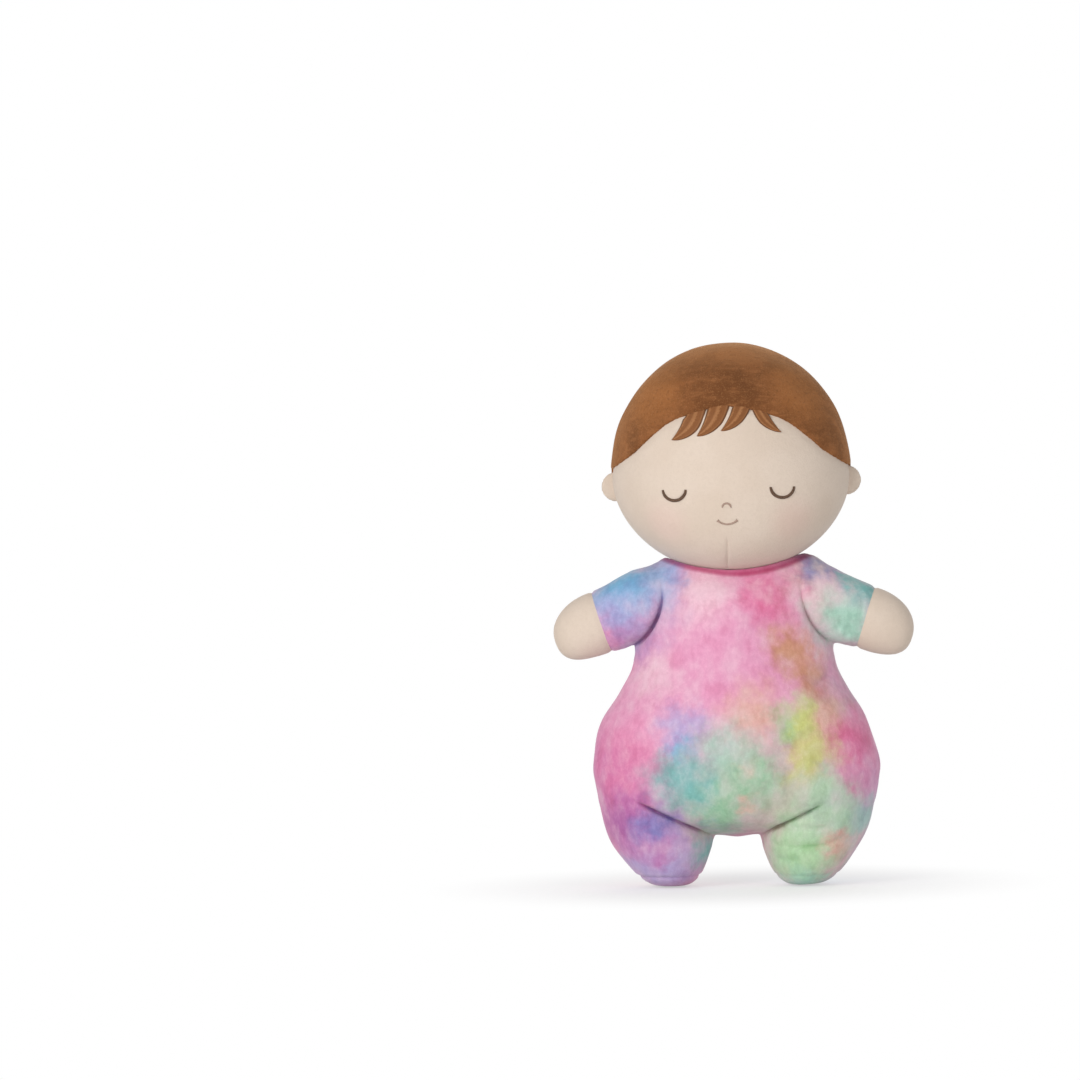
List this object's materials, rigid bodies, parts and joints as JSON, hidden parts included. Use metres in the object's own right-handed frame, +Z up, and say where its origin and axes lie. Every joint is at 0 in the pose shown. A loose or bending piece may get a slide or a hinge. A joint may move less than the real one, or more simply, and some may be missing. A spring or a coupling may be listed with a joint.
{
  "type": "stuffed doll",
  "caption": "Soft stuffed doll with a round head, stitched sleeping face, short fringe, and stub arms and legs in a dyed velour suit, standing on flattened soles.",
  "frame": {"origin": "on the floor, midway between the soles, at the middle of the bounding box", "axes": "+Z up, -Y the way the doll faces, +X towards the doll's own left hand"},
  "size_m": [0.1922, 0.104, 0.29],
  "materials": {
    "skin": "short velour pile, beige",
    "hair": "short brushed plush, warm brown",
    "fringe": "satin-stitched cloth, brown",
    "suit": "short velour pile, dyed in soft patches of pink, blue, green and lilac",
    "eye_thread": "embroidery thread, dark brown",
    "face_thread": "embroidery thread, light brown",
    "seam_thread": "sewing thread",
    "stuffing": "loose polyester fibre"
  },
  "bodies": {
    "torso": {"torso_front_panel": "suit", "torso_back_panel": "suit", "torso_stuffing": "stuffing"},
    "head": {"face_panel": "skin", "hair_cap": "hair", "head_stuffing": "stuffing", "neck_seam": "seam_thread", "ear_left": "skin", "ear_right": "skin", "eye_left": "eye_thread", "eye_right": "eye_thread", "nose": "face_thread", "mouth": "face_thread", "fringe_lock_1": "fringe", "fringe_lock_2": "fringe", "fringe_lock_3": "fringe", "fringe_lock_4": "fringe"},
    "arm_left": {"sleeve_left": "suit", "hand_left": "skin", "arm_stuffing_left": "stuffing", "shoulder_seam_left": "seam_thread"},
    "leg_left": {"leg_left": "suit", "sole_left": "suit", "leg_stuffing_left": "stuffing", "hip_seam_left": "seam_thread"},
    "arm_right": {"sleeve_right": "suit", "hand_right": "skin", "arm_stuffing_right": "stuffing", "shoulder_seam_right": "seam_thread"},
    "leg_right": {"leg_right": "suit", "sole_right": "suit", "leg_stuffing_right": "stuffing", "hip_seam_right": "seam_thread"}
  },
  "joints": [
    {"name": "neck_turn", "type": "hinge", "parent": "torso", "child": "head", "pos_m": [0, 0, 0.1676], "axis": [0, 0, 1], "range_deg": [-30, 30], "stiffness_Nm_per_rad": 0.15},
    {"name": "shoulder_left_lift", "type": "hinge", "parent": "torso", "child": "arm_left", "pos_m": [0.048, 0, 0.1503], "axis": [0, -1, 0], "range_deg": [-15, 35], "stiffness_Nm_per_rad": 0.08},
    {"name": "shoulder_right_lift", "type": "hinge", "parent": "torso", "child": "arm_right", "pos_m": [-0.048, 0, 0.1503], "axis": [0, 1, 0], "range_deg": [-15, 35], "stiffness_Nm_per_rad": 0.08},
    {"name": "hip_left_swing", "type": "hinge", "parent": "torso", "child": "leg_left", "pos_m": [0.0445, 0, 0.0465], "axis": [-1, 0, 0], "range_deg": [-15, 20], "stiffness_Nm_per_rad": 0.6},
    {"name": "hip_right_swing", "type": "hinge", "parent": "torso", "child": "leg_right", "pos_m": [-0.0445, 0, 0.0465], "axis": [-1, 0, 0], "range_deg": [-15, 20], "stiffness_Nm_per_rad": 0.6}
  ]
}
